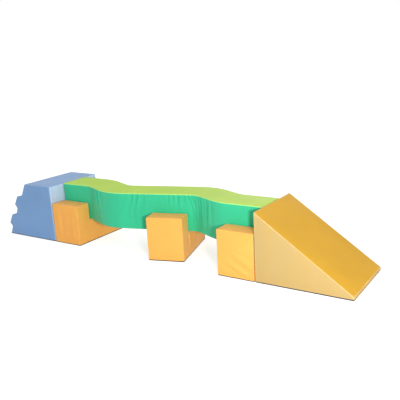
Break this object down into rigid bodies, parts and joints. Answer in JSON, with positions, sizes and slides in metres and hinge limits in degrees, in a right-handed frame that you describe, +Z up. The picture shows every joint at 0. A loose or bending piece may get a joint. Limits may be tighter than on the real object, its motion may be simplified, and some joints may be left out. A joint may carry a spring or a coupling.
{
  "type": "soft play foam climber",
  "caption": "Row of soft play foam modules: a climbing block with moulded holds, a wavy beam seated in U-shaped saddles, and a ramp, each in a zipped cover of coated fabric.",
  "frame": {"origin": "on the floor, under the middle of the row's bounding box", "axes": "+X along the row from the climbing block to the ramp's toe, +Z up, -Y the side that the picture shows"},
  "size_m": [3.2824, 0.6675, 0.4983],
  "materials": {
    "blue_vinyl": "PVC-coated polyester, soft sheen, fine leather-like grain",
    "orange_vinyl": "PVC-coated polyester, soft sheen, fine leather-like grain",
    "yellow_vinyl": "PVC-coated polyester, soft sheen, fine leather-like grain",
    "green_vinyl": "PVC-coated polyester, soft sheen, fine leather-like grain",
    "lime_vinyl": "PVC-coated polyester, soft sheen, fine leather-like grain",
    "sole": "dark anti-slip coated base fabric, matt and finely dimpled",
    "foam": "open-cell polyurethane foam",
    "zip_nylon": "woven tape and moulded nylon teeth",
    "zip_metal": "plated zinc alloy, satin"
  },
  "bodies": {
    "climber": {"climber_core": "foam", "climber_cover": "blue_vinyl", "climber_sole": "sole", "climber_zip": "zip_nylon"},
    "climber_zip_slider": {"climber_zip_slider": "zip_metal"},
    "climber_zip_pull": {"climber_zip_pull": "zip_metal"},
    "saddle_left": {"saddle_left_core": "foam", "saddle_left_cover": "orange_vinyl", "saddle_left_sole": "sole", "saddle_left_zip": "zip_nylon"},
    "saddle_left_zip_slider": {"saddle_left_zip_slider": "zip_metal"},
    "saddle_left_zip_pull": {"saddle_left_zip_pull": "zip_metal"},
    "saddle_centre": {"saddle_centre_core": "foam", "saddle_centre_cover": "orange_vinyl", "saddle_centre_sole": "sole", "saddle_centre_zip": "zip_nylon"},
    "saddle_centre_zip_slider": {"saddle_centre_zip_slider": "zip_metal"},
    "saddle_centre_zip_pull": {"saddle_centre_zip_pull": "zip_metal"},
    "saddle_right": {"saddle_right_core": "foam", "saddle_right_cover": "orange_vinyl", "saddle_right_sole": "sole", "saddle_right_zip": "zip_nylon"},
    "saddle_right_zip_slider": {"saddle_right_zip_slider": "zip_metal"},
    "saddle_right_zip_pull": {"saddle_right_zip_pull": "zip_metal"},
    "beam": {"beam_core": "foam", "beam_side_cover": "green_vinyl", "beam_top_panel": "lime_vinyl", "beam_underside": "green_vinyl", "beam_zip": "zip_nylon"},
    "beam_zip_slider": {"beam_zip_slider": "zip_metal"},
    "beam_zip_pull": {"beam_zip_pull": "zip_metal"},
    "ramp": {"ramp_core": "foam", "ramp_cover": "yellow_vinyl", "ramp_sole": "sole", "ramp_zip": "zip_nylon"},
    "ramp_zip_slider": {"ramp_zip_slider": "zip_metal"},
    "ramp_zip_pull": {"ramp_zip_pull": "zip_metal"}
  },
  "joints": [
    {"name": "climber_pull_away", "type": "slide", "parent": "saddle_centre", "child": "climber", "axis": [-1, 0, 0], "range_m": [0, 0.5]},
    {"name": "ramp_pull_away", "type": "slide", "parent": "saddle_centre", "child": "ramp", "axis": [1, 0, 0], "range_m": [0, 0.5]},
    {"name": "beam_lift", "type": "slide", "parent": "saddle_centre", "child": "beam", "axis": [0, 0, 1], "range_m": [0, 0.35]},
    {"name": "saddle_left_shift", "type": "slide", "parent": "saddle_centre", "child": "saddle_left", "axis": [1, 0, 0], "range_m": [0, 0.03]},
    {"name": "saddle_right_shift", "type": "slide", "parent": "saddle_centre", "child": "saddle_right", "axis": [-1, 0, 0], "range_m": [0, 0.03]},
    {"name": "climber_zip_run", "type": "slide", "parent": "climber", "child": "climber_zip_slider", "axis": [1, 0, 0], "range_m": [0, 0.418]},
    {"name": "climber_pull_flap", "type": "hinge", "parent": "climber_zip_slider", "child": "climber_zip_pull", "pos_m": [-1.5588, 0.30315, 0.045], "axis": [0, 0, 1], "range_deg": [0, 170]},
    {"name": "saddle_left_zip_run", "type": "slide", "parent": "saddle_left", "child": "saddle_left_zip_slider", "axis": [1, 0, 0], "range_m": [0, 0.188]},
    {"name": "saddle_left_pull_flap", "type": "hinge", "parent": "saddle_left_zip_slider", "child": "saddle_left_zip_pull", "pos_m": [-0.9908, 0.30315, 0.045], "axis": [0, 0, 1], "range_deg": [0, 170]},
    {"name": "saddle_centre_zip_run", "type": "slide", "parent": "saddle_centre", "child": "saddle_centre_zip_slider", "axis": [0.9602, 0.2792, 0], "range_m": [0, 0.188]},
    {"name": "saddle_centre_pull_flap", "type": "hinge", "parent": "saddle_centre_zip_slider", "child": "saddle_centre_zip_pull", "pos_m": [-0.10713, 0.27351, 0.045], "axis": [0, 0, 1], "range_deg": [0, 170]},
    {"name": "saddle_right_zip_run", "type": "slide", "parent": "saddle_right", "child": "saddle_right_zip_slider", "axis": [1, 0, 0], "range_m": [0, 0.188]},
    {"name": "saddle_right_pull_flap", "type": "hinge", "parent": "saddle_right_zip_slider", "child": "saddle_right_zip_pull", "pos_m": [0.7042, 0.25315, 0.045], "axis": [0, 0, 1], "range_deg": [0, 170]},
    {"name": "beam_zip_run", "type": "slide", "parent": "beam", "child": "beam_zip_slider", "axis": [1, 0, 0], "range_m": [0, 0.468]},
    {"name": "beam_pull_flap", "type": "hinge", "parent": "beam_zip_slider", "child": "beam_zip_pull", "pos_m": [-0.6058, -0.06075, 0.1964], "axis": [0, 1, 0], "range_deg": [-85, 85]},
    {"name": "ramp_zip_run", "type": "slide", "parent": "ramp", "child": "ramp_zip_slider", "axis": [1, 0, 0], "range_m": [0, 0.408]},
    {"name": "ramp_pull_flap", "type": "hinge", "parent": "ramp_zip_slider", "child": "ramp_zip_pull", "pos_m": [1.0072, 0.25315, 0.045], "axis": [0, 0, 1], "range_deg": [0, 170]}
  ]
}
